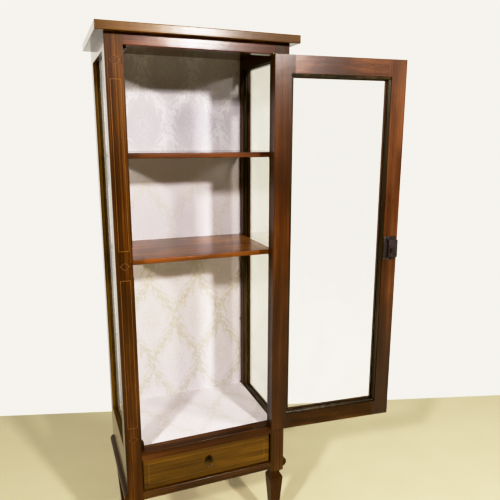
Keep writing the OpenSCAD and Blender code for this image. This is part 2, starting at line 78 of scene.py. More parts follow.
# ---------------------------------------------------------------- node helper
class S:
    """A shader socket with arithmetic."""

    def __init__(self, b, s):
        self.b, self.s = b, s

    def _op(self, op, o=None, r=False):
        a, c = (o, self) if r else (self, o)
        return self.b.math(op, a, c) if c is not None else self.b.math(op, a)

    def __add__(self, o): return self._op("ADD", o)
    def __radd__(self, o): return self._op("ADD", o)
    def __sub__(self, o): return self._op("SUBTRACT", o)
    def __rsub__(self, o): return self._op("SUBTRACT", o, True)
    def __mul__(self, o): return self._op("MULTIPLY", o)
    def __rmul__(self, o): return self._op("MULTIPLY", o)
    def __truediv__(self, o): return self._op("DIVIDE", o)
    def __neg__(self): return self.b.math("MULTIPLY", self, -1.0)
    def abs(self): return self.b.math("ABSOLUTE", self)
    def sin(self): return self.b.math("SINE", self)
    def cos(self): return self.b.math("COSINE", self)
    def sqrt(self): return self.b.math("SQRT", self)
    def fract(self): return self.b.math("FRACT", self)
    def floor(self): return self.b.math("FLOOR", self)
    def min(self, o): return self.b.math("MINIMUM", self, o)
    def max(self, o): return self.b.math("MAXIMUM", self, o)
    def pow(self, o): return self.b.math("POWER", self, o)
    def mod(self, o): return self.b.math("FLOORED_MODULO", self, o)
    def ping(self, o): return self.b.math("PINGPONG", self, o)
    def step(self, a, b):
        """0 below a, 1 above b, smooth between."""
        n = self.b.node("ShaderNodeMapRange", interpolation_type="SMOOTHSTEP")
        self.b.put(n.inputs["Value"], self)
        n.inputs["From Min"].default_value, n.inputs["From Max"].default_value = (a, b) if a < b else (b, a)
        if a < b:
            n.inputs["To Min"].default_value, n.inputs["To Max"].default_value = 0.0, 1.0
        else:
            n.inputs["To Min"].default_value, n.inputs["To Max"].default_value = 1.0, 0.0
        return S(self.b, n.outputs["Result"])


class Mat:
    """Builds one node material."""

    def __init__(self, name):
        self.m = bpy.data.materials.new(name)
        self.m.use_nodes = True
        self.t = self.m.node_tree
        self.t.nodes.clear()
        self.out = self.node("ShaderNodeOutputMaterial")
        self._tc = None

    def node(self, kind, **kw):
        n = self.t.nodes.new(kind)
        for k, v in kw.items():
            setattr(n, k, v)
        return n

    def put(self, sock, v):
        if isinstance(v, S):
            self.t.links.new(v.s, sock)
        elif isinstance(v, (tuple, list)) and len(v) == 3 and sock.type == "RGBA":
            sock.default_value = (*v, 1.0)
        else:
            sock.default_value = v

    def math(self, op, a, b=None, c=None, clamp=False):
        n = self.node("ShaderNodeMath", operation=op, use_clamp=clamp)
        for i, v in enumerate((a, b, c)):
            if v is not None:
                self.put(n.inputs[i], v)
        return S(self, n.outputs[0])

    def coords(self):
        if self._tc is None:
            self._tc = self.node("ShaderNodeTexCoord")
        return S(self, self._tc.outputs["Object"])

    def split(self, v):
        n = self.node("ShaderNodeSeparateXYZ")
        self.put(n.inputs[0], v)
        return [S(self, n.outputs[i]) for i in range(3)]

    def join(self, x, y, z):
        n = self.node("ShaderNodeCombineXYZ")
        for i, v in enumerate((x, y, z)):
            self.put(n.inputs[i], v)
        return S(self, n.outputs[0])

    def mapping(self, v, loc=(0, 0, 0), rot=(0, 0, 0), scale=(1, 1, 1)):
        n = self.node("ShaderNodeMapping")
        self.put(n.inputs["Vector"], v)
        n.inputs["Location"].default_value = loc
        n.inputs["Rotation"].default_value = rot
        n.inputs["Scale"].default_value = scale
        return S(self, n.outputs[0])

    def noise(self, v, scale=1.0, detail=2.0, rough=0.5, dist=0.0, color=False):
        n = self.node("ShaderNodeTexNoise")
        self.put(n.inputs["Vector"], v)
        n.inputs["Scale"].default_value = scale
        n.inputs["Detail"].default_value = detail
        n.inputs["Roughness"].default_value = rough
        n.inputs["Distortion"].default_value = dist
        return S(self, n.outputs["Color" if color else "Fac"])

    def voronoi(self, v, scale=1.0, feature="F1", rand=1.0, out="Distance"):
        n = self.node("ShaderNodeTexVoronoi", feature=feature)
        self.put(n.inputs["Vector"], v)
        n.inputs["Scale"].default_value = scale
        n.inputs["Randomness"].default_value = rand
        return S(self, n.outputs[out])

    def vadd(self, a, b, scale=None):
        if scale is not None:
            n = self.node("ShaderNodeVectorMath", operation="SCALE")
            self.put(n.inputs[0], b)
            n.inputs["Scale"].default_value = scale
            b = S(self, n.outputs[0])
        n = self.node("ShaderNodeVectorMath", operation="ADD")
        self.put(n.inputs[0], a)
        self.put(n.inputs[1], b)
        return S(self, n.outputs[0])

    def ramp(self, f, stops, interp="LINEAR"):
        n = self.node("ShaderNodeValToRGB")
        n.color_ramp.interpolation = interp
        e = n.color_ramp.elements
        while len(e) < len(stops):
            e.new(0.5)
        for k, (p, c) in zip(range(len(stops)), stops):
            e[k].position = p
            e[k].color = (*c, 1.0) if len(c) == 3 else c
        self.put(n.inputs["Fac"], f)
        return S(self, n.outputs["Color"])

    def mix(self, f, a, b, mode="MIX"):
        n = self.node("ShaderNodeMix", data_type="RGBA", blend_type=mode)
        self.put(n.inputs[0], f)
        self.put(n.inputs[6], a)
        self.put(n.inputs[7], b)
        return S(self, n.outputs[2])

    def bump(self, h, strength=0.3, dist=0.001, normal=None):
        n = self.node("ShaderNodeBump")
        self.put(n.inputs["Height"], h)
        n.inputs["Strength"].default_value = strength
        n.inputs["Distance"].default_value = dist
        if normal is not None:
            self.put(n.inputs["Normal"], normal)
        return S(self, n.outputs[0])

    def principled(self, **kw):
        n = self.node("ShaderNodeBsdfPrincipled")
        for k, v in kw.items():
            self.put(n.inputs[k.replace("_", " ")], v)
        self.t.links.new(n.outputs[0], self.out.inputs["Surface"])
        return n


def srgb(r, g, b):
    def f(c):
        c /= 255.0
        return c / 12.92 if c <= 0.04045 else ((c + 0.055) / 1.055) ** 2.4
    return (f(r), f(g), f(b))


# ---------------------------------------------------------------- materials
def wood(name, axis, dark, mid, light, seed=0.0, ring=6.0, coat=0.38, rough=0.48, pores=0.45, gloss=0.24, blotch=0.45, lines=0.5, scale=1.0, low=0.0):
    """Straight-grown hardwood with growth lines, streaks, pores and an old varnish that has gone blotchy. axis is the grain's direction."""
    b = Mat(name)
    s = {"x": (1, 0, 0), "y": (0, 1, 0), "z": (0, 0, 1)}[axis]

    def stretch(across, along, k=0.0):
        sc = tuple((along if a else across) * scale for a in s)
        return b.mapping(b.coords(), loc=(seed * 1.37 + k, seed * 2.11 - k, seed * 0.73 + 2 * k), scale=sc)

    bend = b.noise(stretch(7.0, 0.9, 3.1), 1.0, 2.0, 0.5)
    fig = b.noise(stretch(11.0, 0.55), 1.0, 1.0, 0.4, 0.25)
    rings = ((fig * ring + bend * 1.6) * 6.2832).sin() * 0.5 + 0.5
    line = b.noise(stretch(260.0, 1.8, 5.0), 1.0, 3.0, 0.6)
    streak = b.noise(stretch(70.0, 1.1, 2.0), 1.0, 3.0, 0.55)
    fine = b.noise(stretch(900.0, 9.0, 7.0), 1.0, 2.0, 0.6)
    pore = b.noise(stretch(1700.0, 30.0, 9.0), 1.0, 1.0, 0.5).step(0.60, 0.70)
    cloud = b.noise(stretch(9.0, 3.4, 1.0), 1.0, 2.0, 0.5)
    f = rings * 0.08 + line * (0.36 * lines) + streak * 0.24 + fine * 0.16 + cloud * blotch + (0.5 - 0.04 - 0.18 * lines - 0.12 - 0.08 - 0.5 * blotch)
    col = b.ramp(f, [(0.30, dark), (0.50, mid), (0.72, light)])
    col = b.mix(pore * pores, col, tuple(c * 0.35 for c in dark))
    scuff = b.noise(b.mapping(b.coords(), loc=(seed * 3, 0, 2)), 34.0, 5.0, 0.7).step(0.60, 0.80)
    col = b.mix(scuff * 0.18, col, light)
    if low:
        # darker towards the bottom
        height = b.split(b.coords())[2]
        col = b.mix(height.step(1.15, 0.45) * low, col, dark)
    r = line * 0.10 + cloud * 0.12 + scuff * 0.12 + (rough - 0.16)
    h = fine * 0.40 + line * 0.35 - pore * 0.8 + rings * 0.10
    nrm = b.bump(h, 0.20, 0.0005)
    wave = b.noise(b.mapping(b.coords(), loc=(seed, seed, 0)), 22.0, 2.0, 0.5)
    cn = b.bump(wave * 0.7 + line * 0.3, 0.12, 0.003)
    cw = coat
    if coat:
        # painted sheen: the coat is made stronger and glossier at glancing angles, so faces seen edge-on reflect more
        # than the varnish alone would
        lw = b.node("ShaderNodeLayerWeight")
        lw.inputs["Blend"].default_value = 0.5
        g = S(b, lw.outputs["Facing"]).step(0.72, 0.88)
        cw = g * (1.0 - coat) + coat
        gloss = g * (-0.6 * gloss) + gloss
    b.principled(Base_Color=col, Roughness=r, Normal=nrm, Coat_Weight=cw, Coat_Roughness=gloss, Coat_Normal=cn, Specular_IOR_Level=0.06)
    return b.m


# dark, middle and light tones of each kind of wood
WAL = dict(dark=srgb(20, 8, 0), mid=srgb(58, 27, 4), light=srgb(106, 58, 12))
DOR = dict(dark=srgb(30, 14, 6), mid=srgb(76, 43, 20), light=srgb(124, 80, 44))
PST = dict(dark=srgb(28, 14, 1), mid=srgb(66, 36, 5), light=srgb(122, 80, 27))
ORG = dict(dark=srgb(66, 34, 6), mid=srgb(128, 76, 24), light=srgb(178, 122, 52))
SHF = dict(dark=srgb(34, 14, 5), mid=srgb(74, 38, 16), light=srgb(112, 66, 30))
SLB = dict(dark=srgb(40, 24, 8), mid=srgb(80, 54, 20), light=srgb(122, 88, 40))
OLV = dict(dark=srgb(40, 25, 0), mid=srgb(85, 58, 5), light=srgb(125, 90, 19))
RED = dict(dark=srgb(34, 14, 4), mid=srgb(82, 42, 16), light=srgb(126, 74, 34))
OLD = dict(dark=srgb(20, 9, 1), mid=srgb(55, 31, 5), light=srgb(100, 66, 20))
BARE = dict(dark=srgb(150, 112, 72), mid=srgb(192, 154, 106), light=srgb(216, 184, 138))


def damask(name, plane):
    """Woven lining: an ogee lattice of leafy garlands with open palmettes, in the traditional half-drop repeat, satin threads on a dull ground."""
    b = Mat(name)
    warp = b.noise(b.mapping(b.coords(), loc=(3, 1, 2)), 34.0, 2.0, 0.6, color=True)
    lace = b.noise(b.mapping(b.coords(), loc=(6, 4, 9)), 150.0, 2.0, 0.6, color=True)
    x, y, z = b.split(b.coords())
    wx, wy, wz = b.split(warp)
    lx, ly, lz = b.split(lace)
    u0, v0 = (x, z) if plane == "xz" else (x, y)
    u = u0 + (wx - 0.5) * 0.020 + (lx - 0.5) * 0.012
    v = v0 + (wz - 0.5) * 0.020 + (lz - 0.5) * 0.012
    PU, PV = 0.182, (0.360 if plane == "xz" else 0.300)
    c = v * (6.2832 / PV)
    sway = c.cos() * 0.25
    un = u / PU
    d1 = ((un - sway + 0.5).fract() - 0.5).abs() * PU
    d2 = ((un + sway).fract() - 0.5).abs() * PU
    d = d1.min(d2)
    # leaves along the garland: lobes that swell and pinch, with a bare vein
    lobe = (v * (3.1416 / 0.0320) + u * 40.0).sin().abs()
    swell = b.noise(b.mapping(b.coords(), loc=(2, 8, 5)), 26.0, 1.0, 0.5).step(0.30, 0.62)
    half = lobe * 0.0150 * (swell * 0.8 + 0.35) + 0.0016
    garland = (half - d).step(-0.0012, 0.0010)
    vein = (d - 0.0012).step(0.0006, -0.0006)
    notch = ((v * (6.2832 / 0.0160) + d * 700.0).sin()).step(0.25, 0.75) * (d - 0.004).step(0.0, 0.002)
    # sprigs that leave the garland on both sides
    sprig = ((v * (6.2832 / 0.0450) + d * 260.0 + 1.0).sin()).step(0.55, 0.85) * (d - 0.026 - lobe * 0.006).step(0.004, -0.004)
    garland = (garland * (1.0 - vein * 0.8) * (1.0 - notch * 0.8)).max(sprig * 0.75)

    def palmette(su, sv):
        a = ((un + su).fract() - 0.5) * PU
        e = ((v / PV + sv).fract() - 0.5) * PV
        e2 = e * 0.66
        rr = (a * a + e2 * e2).sqrt()
        th = b.math("ARCTAN2", a, e2)
        pet = (th * 5.0).cos().abs() * 0.011 + 0.016
        out = ((rr - pet).abs() - 0.0024).step(0.0009, -0.0009)
        core = ((rr - pet * 0.50).abs() - 0.0028).step(0.0009, -0.0009)
        fan = ((th * 14.0).sin()).step(0.2, 0.8) * (rr - 0.036 - (th * 7.0).cos() * 0.003).step(0.001, -0.001) * (rr - 0.028).step(-0.001, 0.001)
        # a crown of small sprigs above and below
        k = (e.abs() - 0.068).abs()
        crown = ((k * k + a * a).sqrt() - ((b.math("ARCTAN2", a, k) * 6.0).cos() * 0.0035 + 0.0085)).abs().step(0.0024, 0.0010)
        return out.max(core).max(fan * 0.9).max(crown * 0.9)

    pal = palmette(0.75, 0.5).max(palmette(0.25, 0.0))
    curl = b.noise(b.mapping(b.coords(), loc=(1, 5, 2)), 95.0, 2.0, 0.5, 1.2)
    scroll = (curl - 0.5).abs().step(0.040, 0.014) * (d - 0.034).step(0.008, -0.008) * (d - 0.008).step(0.0, 0.003)
    motif = garland.max(pal * 0.36).max(scroll * 0.62)
    wa = b.noise(b.mapping(b.coords(), scale=(1500, 1500, 170)), 1.0, 1.0, 0.5)
    wb = b.noise(b.mapping(b.coords(), scale=(170, 170, 1500)), 1.0, 1.0, 0.5)
    weave = wa * 0.5 + wb * 0.5
    tuft = b.noise(b.coords(), 260.0, 2.0, 0.6).step(0.32, 0.58)
    motif = motif * (tuft * 0.7 + 0.3)
    ground = b.mix(weave, srgb(212, 204, 208), srgb(240, 234, 238)) if plane == "xz" else b.mix(weave, srgb(222, 215, 218), srgb(246, 241, 244))
    thread = b.mix(weave, srgb(178, 172, 146), srgb(210, 204, 182))
    if plane == "xy":
        # the pattern on the floor is paler
        motif = motif * 0.55
    if plane == "xz":
        # painted sheen: the pattern is painted fainter at the height of the middle compartment, where the painted satin
        # sheen changes over
        motif = motif * (1.0 - (z - 1.18).abs().step(0.20, 0.10) * 0.55)
        # painted satin sheen: above z 1.22 to 1.42 the threads are painted near white on a greyer ground; lower down
        # they keep the beige of threads out of the sheen
        painted_sheen_height = z.step(1.22, 1.42)
        ground = b.mix(painted_sheen_height, ground, b.mix(weave, srgb(204, 197, 204), srgb(230, 223, 230)))
        thread = b.mix(painted_sheen_height, thread, b.mix(weave, srgb(244, 241, 245), srgb(255, 253, 255)))
    col = b.mix(motif * 0.80, ground, thread)
    soil = b.noise(b.mapping(b.coords(), loc=(8, 1, 4)), 4.0, 3.0, 0.6)
    col = b.mix(soil.step(0.5, 0.8) * 0.14, col, srgb(184, 172, 146))
    h = weave * 0.5 + motif * 0.6
    r_ = 0.72 - motif * 0.16
    b.principled(Base_Color=col, Roughness=r_, Normal=b.bump(h, 0.25, 0.0005), Sheen_Weight=0.10, Specular_IOR_Level=0.5)
    return b.m


def glass(name, tint=(0.998, 1.000, 0.995)):
    b = Mat(name)
    fr = b.node("ShaderNodeFresnel")
    fr.inputs["IOR"].default_value = 1.5
    dust = b.noise(b.coords(), 9.0, 4.0, 0.6)
    wavy = b.noise(b.coords(), 4.0, 1.0, 0.4)
    bn = b.bump(wavy, 0.08, 0.01)
    b.t.links.new(bn.s, fr.inputs["Normal"])
    tr = b.node("ShaderNodeBsdfTransparent")
    b.put(tr.inputs["Color"], b.mix(dust.step(0.45, 0.8), tint, tuple(c * 0.985 for c in tint)))
    gl = b.node("ShaderNodeBsdfGlossy")
    gl.inputs["Color"].default_value = (1, 1, 1, 1)
    b.put(gl.inputs["Roughness"], dust * 0.03 + 0.005)
    b.t.links.new(bn.s, gl.inputs["Normal"])
    mx = b.node("ShaderNodeMixShader")
    b.put(mx.inputs[0], S(b, fr.outputs[0]) * 0.45)
    b.t.links.new(tr.outputs[0], mx.inputs[1])
    b.t.links.new(gl.outputs[0], mx.inputs[2])
    b.t.links.new(mx.outputs[0], b.out.inputs["Surface"])
    return b.m


def metal(name, dark, light, rough=0.38, scale=60.0, pit=0.5, metallic=1.0, rust=None):
    b = Mat(name)
    n1 = b.noise(b.coords(), scale, 5.0, 0.65)
    n2 = b.noise(b.mapping(b.coords(), loc=(2, 3, 4)), scale * 9, 3.0, 0.6)
    worn = b.noise(b.mapping(b.coords(), loc=(7, 3, 1)), scale * 2.2, 4.0, 0.7).step(0.5, 0.72)
    col = b.ramp(n1 * 0.7 + n2 * 0.3, [(0.3, dark), (0.72, light)])
    col = b.mix(worn * 0.35, col, tuple(min(1.0, c * 1.7 + 0.02) for c in light))
    if rust:
        col = b.mix(n2.step(0.62, 0.75) * 0.4, col, rust)
    r = n1 * 0.18 + n2 * 0.14 + (rough - 0.14)
    b.principled(Base_Color=col, Metallic=metallic, Roughness=r, Normal=b.bump(n2 * 0.6 + n1 * 0.4, pit, 0.0004))
    return b.m


M = {
    "slab": wood("slab_wood", "x", seed=1.0, coat=0.36, gloss=0.22, **SLB),
    "post_l": wood("post_left_wood", "z", seed=2.0, lines=1.1, blotch=0.4, coat=0.27, **PST),
    "post_r": wood("post_right_wood", "z", seed=3.3, lines=1.0, blotch=0.4, **OLD),
    # painted reflection: the back left post gets a lighter wood than the back right one, standing in for the pale
    # reflection on left faces seen edge-on
    "post_bl": wood("post_back_left_wood", "z", seed=4.1, **OLV),
    "post_br": wood("post_back_right_wood", "z", seed=5.2, **WAL),
    "leg": wood("leg_wood", "z", seed=6.4, coat=0.3, **PST),
    "rail_t": wood("frieze_wood", "x", seed=7.5, coat=0.52, gloss=0.20, **RED),
    "rail_s": wood("sill_wood", "x", seed=8.1, coat=0.24, dark=srgb(26, 12, 2), mid=srgb(68, 38, 12), light=srgb(112, 72, 30)),
    "rail_b": wood("bottom_rail_wood", "x", seed=9.6, **OLD),
    # painted reflection: the left side pieces get a lighter wood than the right ones, standing in for the pale
    # reflection on the left face seen edge-on
    "side": wood("side_wood", "y", seed=10.2, **OLV),
    "side_r": wood("side_right_wood", "y", seed=11.9, **WAL),
    "bead": wood("bead_wood", "y", seed=12.4, coat=0.2, **OLD),
    "gbead": wood("glazing_bead_wood", "z", seed=13.7, coat=0.5, dark=srgb(14, 11, 5), mid=srgb(42, 34, 20), light=srgb(88, 74, 50)),
    "shelf": wood("shelf_wood", "x", seed=14.4, **SHF),
    "shelf2": wood("shelf_lower_wood", "x", seed=15.8, **ORG),
    "floor": wood("floor_wood", "x", seed=16.3, **WAL),
    "stile_h": wood("door_hinge_stile_wood", "z", seed=17.1, blotch=0.45, coat=0.42, low=0.45, dark=srgb(24, 10, 1), mid=srgb(62, 33, 9), light=srgb(104, 62, 22)),
    "stile_l": wood("door_lock_stile_wood", "z", seed=18.6, blotch=0.6, low=0.85, coat=0.60, **DOR),
    "drail_t": wood("door_top_rail_wood", "x", seed=19.2, blotch=0.5, coat=0.62, **DOR),
    "drail_b": wood("door_bottom_rail_wood", "x", seed=20.7, coat=0.3, **OLD),
    "drawer": wood("drawer_front_wood", "x", seed=21.5, lines=0.9, blotch=0.3, **OLV),
    "bare_x": wood("plain_wood_x", "x", seed=22.3, coat=0.0, rough=0.62, gloss=0.3, **BARE),
    "bare_y": wood("plain_wood_y", "y", seed=23.8, coat=0.0, rough=0.62, gloss=0.3, **BARE),
    "bare_z": wood("plain_wood_z", "z", seed=24.2, coat=0.0, rough=0.66, gloss=0.3, **BARE),
    "string": wood("stringing_wood", "z", seed=25.5, coat=0.35, rough=0.32, dark=srgb(96, 62, 22), mid=srgb(138, 98, 46), light=srgb(168, 126, 70)),
    # the stop blocks are near black: a dark wood, and painted shade for the darkness where the stop strip ends
    "dark": wood("stop_block_wood_painted_shade", "z", seed=28.4, dark=srgb(14, 7, 4), mid=srgb(34, 18, 10), light=srgb(58, 34, 20)),
    "string_x": wood("stringing_drawer_wood", "x", seed=26.5, coat=0.35, dark=srgb(86, 58, 14), mid=srgb(122, 88, 30), light=srgb(156, 118, 50)),
    "ebony": wood("dark_line_wood", "z", seed=27.1, coat=0.35, dark=srgb(16, 10, 7), mid=srgb(30, 18, 12), light=srgb(48, 30, 20)),
    "lining_b": damask("lining_back", "xz"),
    "lining_f": damask("lining_floor", "xy"),
    "glass": glass("clear_glass"),
    # the side panes are tinted slightly yellow-green: partly the tint of old glass, partly a painted reflection of a
    # warm floor
    "glass_side": glass("side_glass", (0.985, 0.990, 0.950)),
    "iron": metal("blackened_iron", srgb(34, 28, 29), srgb(86, 75, 76), 0.40, 90, 0.8, 0.8),
    "ring_iron": metal("worn_ring_metal", srgb(52, 46, 38), srgb(124, 116, 102), 0.32, 90, 0.5, 1.0),
    "bronze": metal("dark_bronze", srgb(26, 18, 9), srgb(72, 54, 30), 0.36, 90, 0.5, 0.9),
    "steel": metal("steel", srgb(84, 80, 76), srgb(140, 136, 130), 0.34, 80, 0.3, 1.0),
    "brass": metal("aged_brass", srgb(38, 31, 22), srgb(104, 84, 54), 0.40, 50, 0.3, 1.0),
    "plastic": metal("dark_fibre", srgb(18, 17, 16), srgb(44, 42, 40), 0.5, 90, 0.3, 0.0),
}

USE = {
    "top_slab": "slab", "post_front_left": "post_l", "post_front_right": "post_r", "post_back_left": "post_bl", "post_back_right": "post_br",
    "leg_front_left": "leg", "leg_front_right": "leg", "leg_back_left": "leg", "leg_back_right": "leg",
    "front_frieze_rail": "rail_t", "front_sill_rail": "rail_s", "front_bottom_rail": "rail_b", "back_bottom_rail": "rail_b",
    "side_frieze_left": "side", "side_frieze_right": "side_r", "side_panel_left": "side", "side_panel_right": "side_r",
    "side_bead_left": "bead", "side_bead_right": "bead", "side_glass_left": "glass_side", "side_glass_right": "glass_side",
    "glazing_beads_left": "gbead", "glazing_beads_right": "gbead", "back_panel": "bare_z", "back_lining": "lining_b",
    "floor_panel": "floor", "floor_lining": "lining_f", "upper_shelf": "shelf", "middle_shelf": "shelf2", "shelf_pins": "plastic",
    "door_stop_strip": "gbead", "door_stop_block": "dark", "bolt_keeper": "iron",
    "hinge_leaves_case": "brass", "hinge_washers": "brass", "hinge_screws_case": "brass",
    "runner_left": "bare_y", "runner_right": "bare_y", "kickers": "bare_y",
    "door_stile_hinge": "stile_h", "door_stile_lock": "stile_l", "door_rail_top": "drail_t", "door_rail_bottom": "drail_b",
    "door_glass": "glass", "door_beads": "gbead", "hinge_leaves_door": "brass", "hinge_screws_door": "brass",
    "lock_case": "iron", "lock_plate_screws": "steel", "lock_bolt": "steel", "keyhole_plate": "brass", "key": "brass",
    "drawer_front": "drawer", "drawer_side_left": "bare_y", "drawer_side_right": "bare_y", "drawer_back": "bare_x", "drawer_bottom": "bare_x",
    "pull_rosette": "bronze", "pull_ring": "ring_iron",
}
BEVEL = {"side_glass_left": 0.3, "side_glass_right": 0.3, "door_glass": 0.3, "back_lining": 0, "floor_lining": 0, "hinge_screws_case": 0.15,
         "hinge_screws_door": 0.15, "lock_plate_screws": 0.2, "hinge_leaves_case": 0.25, "hinge_leaves_door": 0.25, "hinge_washers": 0.15,
         "shelf_pins": 0.3, "key": 0.4, "keyhole_plate": 0.3, "lock_bolt": 0.4, "lock_case": 0.9, "pull_ring": 0, "pull_rosette": 0.3,
         "side_bead_left": 0.4, "side_bead_right": 0.4, "upper_shelf": 0.0, "middle_shelf": 0.0, "drawer_front": 1.2, "bolt_keeper": 0.3}

BODY_OF = {n: body for body, ns in frame["record"]["behaviour"]["bodies"].items() for n in ns}


def centre(p):
    """Row frame in metres back to the centre layout in mm."""
    return Vector((p[0] * 1000.0 - 250.0, p[1] * 1000.0 - 162.5, p[2] * 1000.0))


def closed(p):
    """A point on the open door back to the closed door's layout in mm."""
    q = centre(p)
    c, s_ = math.cos(-OPEN), math.sin(-OPEN)
    x, y = q[0] - PIV[0], q[1] - PIV[1]
    return Vector((PIV[0] + c * x - s_ * y, PIV[1] + s_ * x + c * y, q[2]))


def finish_mesh(bm, name, body, mat, replaces=(), weight=True):
    me = bpy.data.meshes.new(name)
    bm.to_mesh(me)
    bm.free()
    me.shade_smooth()
    o = bpy.data.objects.new(name, me)
    for m_ in (mat if isinstance(mat, (list, tuple)) else [mat]):
        me.materials.append(m_)
    bpy.context.scene.collection.objects.link(o)
    if weight:
        md = o.modifiers.new("normals", "WEIGHTED_NORMAL")
        md.keep_sharp = False
        md.weight = 70
    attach(o, body)
    if replaces:
        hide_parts(*replaces)
    return o


def shaped(node, big=(), cuts=(), small=0.6, seg=2):
    """The CAD node's own shape with its arrises worked: big is a list of (test, radius, segments) on edges, cuts are planes where a rounding stops."""
    conv = closed if BODY_OF[node] == "door" else centre
    bm = bmesh.new()
    bm.from_mesh(NODES[node].data)
    bmesh.ops.remove_doubles(bm, verts=bm.verts, dist=1e-5)
    bmesh.ops.dissolve_limit(bm, angle_limit=math.radians(1.0), verts=bm.verts, edges=bm.edges)
    for co, no in cuts:
        bmesh.ops.bisect_plane(bm, geom=bm.verts[:] + bm.edges[:] + bm.faces[:], dist=1e-6, plane_co=Vector(co) / 1000.0, plane_no=Vector(no))
    for test, rad, sg in big:
        pick = []
        for e in bm.edges:
            if len(e.link_faces) == 2 and e.calc_face_angle(0.0) > math.radians(35):
                a, b_ = conv(e.verts[0].co), conv(e.verts[1].co)
                if test((a + b_) / 2, (b_ - a).normalized(), (b_ - a).length):
                    pick.append(e)
        if pick:
            bmesh.ops.bevel(bm, geom=pick, offset=rad / 1000.0, segments=sg, profile=0.5, affect="EDGES", clamp_overlap=True)
    if small:
        pick = [e for e in bm.edges if len(e.link_faces) == 2 and e.calc_face_angle(0.0) > math.radians(35)]
        bmesh.ops.bevel(bm, geom=pick, offset=small / 1000.0, segments=seg, profile=0.5, affect="EDGES", clamp_overlap=True)
    return finish_mesh(bm, node + "_finished", BODY_OF[node], M[USE[node]], [node])


near = lambda a, b_, t=0.6: abs(a - b_) < t
done = set()


def work(node, **kw):
    done.add(node)
    return shaped(node, **kw)


# front posts: rounded front arrises, the inner one only beside the opening
for node, sx in (("post_front_left", -1), ("post_front_right", 1)):
    work(node, cuts=[((0, 0, 412.5), (0, 0, 1)), ((0, 0, 1644), (0, 0, 1))], big=[
        (lambda m_, d_, l_, sx=sx: near(m_[0], sx * HP) and near(m_[1], FY) and abs(d_[2]) > 0.9 and 412 < m_[2] < 1645, 3.0, 5),
        (lambda m_, d_, l_, sx=sx: near(m_[0], sx * HW) and near(m_[1], FY) and abs(d_[2]) > 0.9, 2.4, 4)], small=0.5)
for node, sx in (("post_back_left", -1), ("post_back_right", 1)):
    work(node, big=[(lambda m_, d_, l_, sx=sx: near(m_[0], sx * HW) and near(m_[1], BY) and abs(d_[2]) > 0.9, 2.0, 4)], small=0.5)
# rails: rounded where a hand or a cloth would pass
work("front_frieze_rail", big=[(lambda m_, d_, l_: near(m_[2], 1644.5) and near(m_[1], FY) and abs(d_[0]) > 0.9, 2.5, 4)], small=0.4)
work("front_sill_rail", big=[(lambda m_, d_, l_: near(m_[2], 412) and near(m_[1], FY) and abs(d_[0]) > 0.9, 3.0, 4)], small=0.4)
work("front_bottom_rail", big=[(lambda m_, d_, l_: near(m_[2], 269) and near(m_[1], FY) and abs(d_[0]) > 0.9, 4.0, 5)], small=0.4)
work("drawer_front", big=[(lambda m_, d_, l_: near(m_[1], FY + 8) and l_ > 60, 1.6, 4)], small=0.4)
for node in ("door_stile_hinge", "door_stile_lock"):
    work(node, big=[(lambda m_, d_, l_: near(abs(m_[0]), 223) and abs(d_[2]) > 0.9 and l_ > 500, 1.8, 4)], small=0.5)
for node in ("door_rail_top", "door_rail_bottom"):
    work(node, small=0.5)
for node in ("leg_front_left", "leg_front_right", "leg_back_left", "leg_back_right"):
    work(node, small=1.1, seg=3)


def rounded_box(x0, x1, y0, y1, z0, z1, rad, sg=4, conv=row):
    bm = bmesh.new()
    bmesh.ops.create_cube(bm, size=1.0)
    for v in bm.verts:
        v.co = ((x0, x1)[v.co.x > 0], (y0, y1)[v.co.y > 0], (z0, z1)[v.co.z > 0])
    bmesh.ops.bevel(bm, geom=bm.edges[:], offset=rad, segments=sg, profile=0.5, affect="EDGES", clamp_overlap=True)
    for v in bm.verts:
        v.co = conv(v.co)
    return bm


bm = rounded_box(-300, 300, -212.5, 187.5, 1676, 1700, 2.6, 5)
finish_mesh(bm, "top_slab_finished", "case", M["slab"], ["top_slab"])
done.add("top_slab")

for n, o in NODES.items():
    if n in done:
        continue
    me = o.data
    for a in ("custom_normal", "sharp_edge", "sharp_face"):
        if a in me.attributes:
            me.attributes.remove(me.attributes[a])
    me.shade_smooth()
    for i in range(max(1, len(me.materials))):
        if len(me.materials) <= i:
            me.materials.append(None)
        me.materials[i] = M[USE[n]]
    w = BEVEL.get(n, 0.8)
    md = o.modifiers.new("weld", "WELD")
    md.merge_threshold = 0.00001
    if w:
        md = o.modifiers.new("flat", "DECIMATE")
        md.decimate_type = "DISSOLVE"
        md.angle_limit = math.radians(1.0)
        md = o.modifiers.new("arris", "BEVEL")
        md.width = w / 1000
        md.segments = 2 if w < 0.5 else 3
        md.limit_method = "ANGLE"
        md.angle_limit = math.radians(35)
        md.harden_normals = False
        md.miter_outer = "MITER_ARC"
    md = o.modifiers.new("normals", "WEIGHTED_NORMAL")
    md.keep_sharp = False
    md.weight = 70

# ---------------------------------------------------------------- inlay
# Stringing let into the posts and the drawer front, a hair proud of the face.
def strips(name, quads, y, body, mat):
    """quads: outlines in x and z (mm) on the plane y, as thin plates."""
    bm = bmesh.new()
    for q in quads:
        top = [bm.verts.new(row((p[0], y - 0.12, p[1]))) for p in q]
        low = [bm.verts.new(row((p[0], y + 0.3, p[1]))) for p in q]
        bm.faces.new(top)
        for i in range(len(q)):
            k = (i + 1) % len(q)
            bm.faces.new((top[i], low[i], low[k], top[k]))
    bmesh.ops.recalc_face_normals(bm, faces=bm.faces[:])
    o = finish_mesh(bm, name, body, mat, weight=False)
    o.data.shade_flat()
    return o


def bar_x(x0, x1, z, w):
    return [(x0, z - w / 2), (x1, z - w / 2), (x1, z + w / 2), (x0, z + w / 2)]


def bar_z(x, z0, z1, w):
    return [(x - w / 2, z0), (x + w / 2, z0), (x + w / 2, z1), (x - w / 2, z1)]


